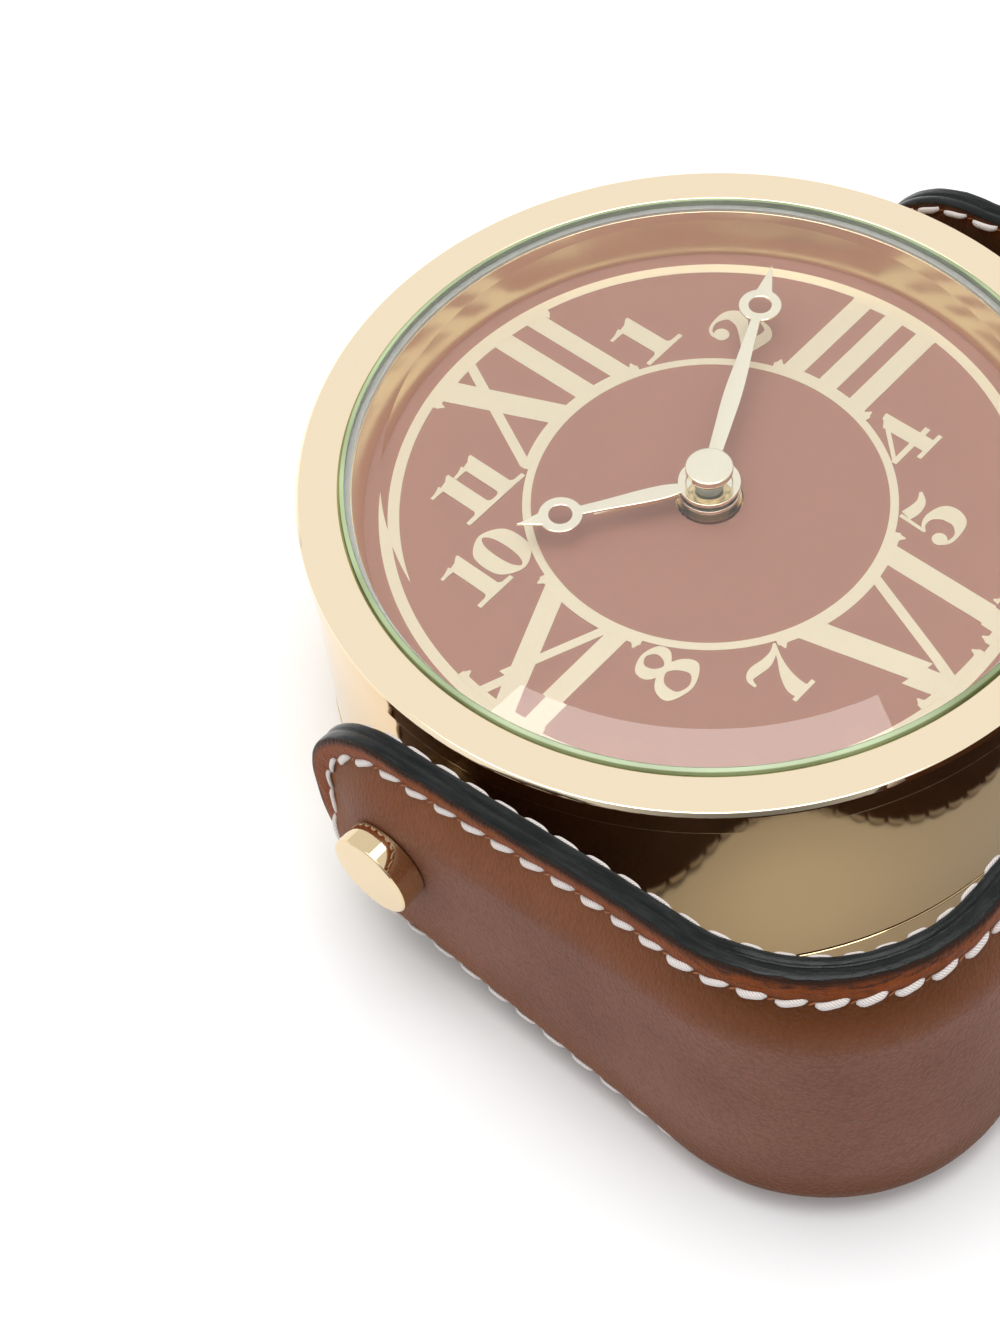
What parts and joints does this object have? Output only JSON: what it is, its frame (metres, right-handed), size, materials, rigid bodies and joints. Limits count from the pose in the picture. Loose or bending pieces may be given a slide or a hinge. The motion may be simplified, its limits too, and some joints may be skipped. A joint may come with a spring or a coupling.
{
  "type": "travel alarm clock",
  "caption": "Round polished travel alarm clock that turns on two side screw knobs in a stitched U-shaped leather stirrup stand, with hands, setting knobs and battery door.",
  "frame": {"origin": "middle of the clock's bounding box on the surface it lies on", "axes": "+Z out of the dial, +X towards three o'clock along the pivot axis, +Y towards twelve o'clock"},
  "size_m": [0.0944, 0.0902, 0.0375],
  "materials": {
    "leather_outer": "fine-grained calf, aniline brown with a reddish burnish, saddle stitched",
    "leather_lining": "smooth lining leather in the same brown, stitched through",
    "spring_steel": "blued spring steel strip",
    "gilt": "mirror-polished pale gold plate",
    "gilt_hand": "polished pale gold hands",
    "dial": "matt mauve-brown lacquer with gold print",
    "glass": "clear mineral glass with a wide polished bevel",
    "brass": "machined brass",
    "steel": "nickel-plated steel",
    "black_plastic": "moulded black ABS",
    "white_plastic": "moulded natural acetal",
    "board": "green solder-masked board",
    "copper": "enamelled copper wire",
    "magnet": "sintered magnet",
    "cell": "plain sleeved dry cell"
  },
  "bodies": {
    "stirrup": {"leather_outer": "leather_outer", "stirrup_spring_core": "spring_steel", "leather_lining": "leather_lining", "pivot_bushes": "brass"},
    "clock": {"case_drum": "gilt", "rear_ring": "gilt", "bezel_ring": "gilt", "crystal": "glass", "crystal_gasket": "white_plastic", "reflector_ring": "gilt", "dial_plate": "dial", "dial_spacer": "white_plastic", "mounting_plate": "brass", "center_bush": "gilt", "center_nut": "brass", "cover_posts": "brass", "cover_screws": "steel", "post_screws": "steel", "back_cover": "gilt", "beeper_cup": "black_plastic", "beeper_disc": "brass", "pivot_knobs": "gilt", "pivot_washers": "gilt", "pivot_nuts": "brass", "movement_box": "black_plastic", "movement_lid": "black_plastic", "circuit_board": "board", "board_screw": "steel", "clock_chip": "black_plastic", "crystal_can": "steel", "stator": "steel", "coil_bobbin": "white_plastic", "coil_winding": "copper", "battery_cell": "cell", "battery_contact_plus": "steel", "battery_contact_minus": "steel"},
    "time_set": {"minute_wheel": "white_plastic", "time_set_arbor": "steel", "time_set_knob": "black_plastic"},
    "minute_hand": {"minute_hand": "gilt_hand", "hand_cap": "gilt_hand", "cannon_pinion": "steel"},
    "hour_hand": {"hour_hand": "gilt_hand", "hour_wheel": "white_plastic"},
    "alarm_set": {"alarm_set_wheel": "white_plastic", "alarm_set_arbor": "steel", "alarm_set_knob": "black_plastic"},
    "alarm_hand": {"alarm_hand": "gilt_hand", "alarm_wheel": "white_plastic"},
    "alarm_slider": {"alarm_slider": "black_plastic"},
    "battery_door": {"battery_door": "black_plastic"},
    "rotor": {"rotor_magnet": "magnet", "rotor_pinion": "white_plastic"}
  },
  "joints": [
    {"name": "clock_tilt", "type": "hinge", "parent": "stirrup", "child": "clock", "pos_m": [0, 0.00708, 0.0175], "axis": [1, 0, 0], "continuous": true},
    {"name": "time_set_spin", "type": "hinge", "parent": "clock", "child": "time_set", "pos_m": [-0.00624, 0.01068, 0.009], "axis": [0, 0, 1], "continuous": true},
    {"name": "minute_spin", "type": "hinge", "parent": "clock", "child": "minute_hand", "pos_m": [0, 0.00708, 0.02], "axis": [0, 0, 1], "continuous": true},
    {"name": "hour_spin", "type": "hinge", "parent": "clock", "child": "hour_hand", "pos_m": [0, 0.00708, 0.02], "axis": [0, 0, 1], "continuous": true},
    {"name": "alarm_set_spin", "type": "hinge", "parent": "clock", "child": "alarm_set", "pos_m": [0.00779, 0.01158, 0.009], "axis": [0, 0, 1], "continuous": true},
    {"name": "alarm_hand_spin", "type": "hinge", "parent": "clock", "child": "alarm_hand", "pos_m": [0, 0.00708, 0.02], "axis": [0, 0, 1], "continuous": true},
    {"name": "alarm_switch_slide", "type": "slide", "parent": "clock", "child": "alarm_slider", "axis": [1, 0, 0], "range_m": [0, 0.002]},
    {"name": "battery_door_swing", "type": "hinge", "parent": "clock", "child": "battery_door", "pos_m": [0, -0.00472, 0.0036], "axis": [1, 0, 0], "range_deg": [0, 100]},
    {"name": "rotor_spin", "type": "hinge", "parent": "clock", "child": "rotor", "pos_m": [-0.015, 0.01208, 0.0115], "axis": [0, 0, 1], "continuous": true}
  ],
  "couplings": [
    {"joint": "minute_spin", "follows": "time_set_spin", "ratio": -3},
    {"joint": "hour_spin", "follows": "time_set_spin", "ratio": -0.25},
    {"joint": "alarm_hand_spin", "follows": "alarm_set_spin", "ratio": -1}
  ]
}
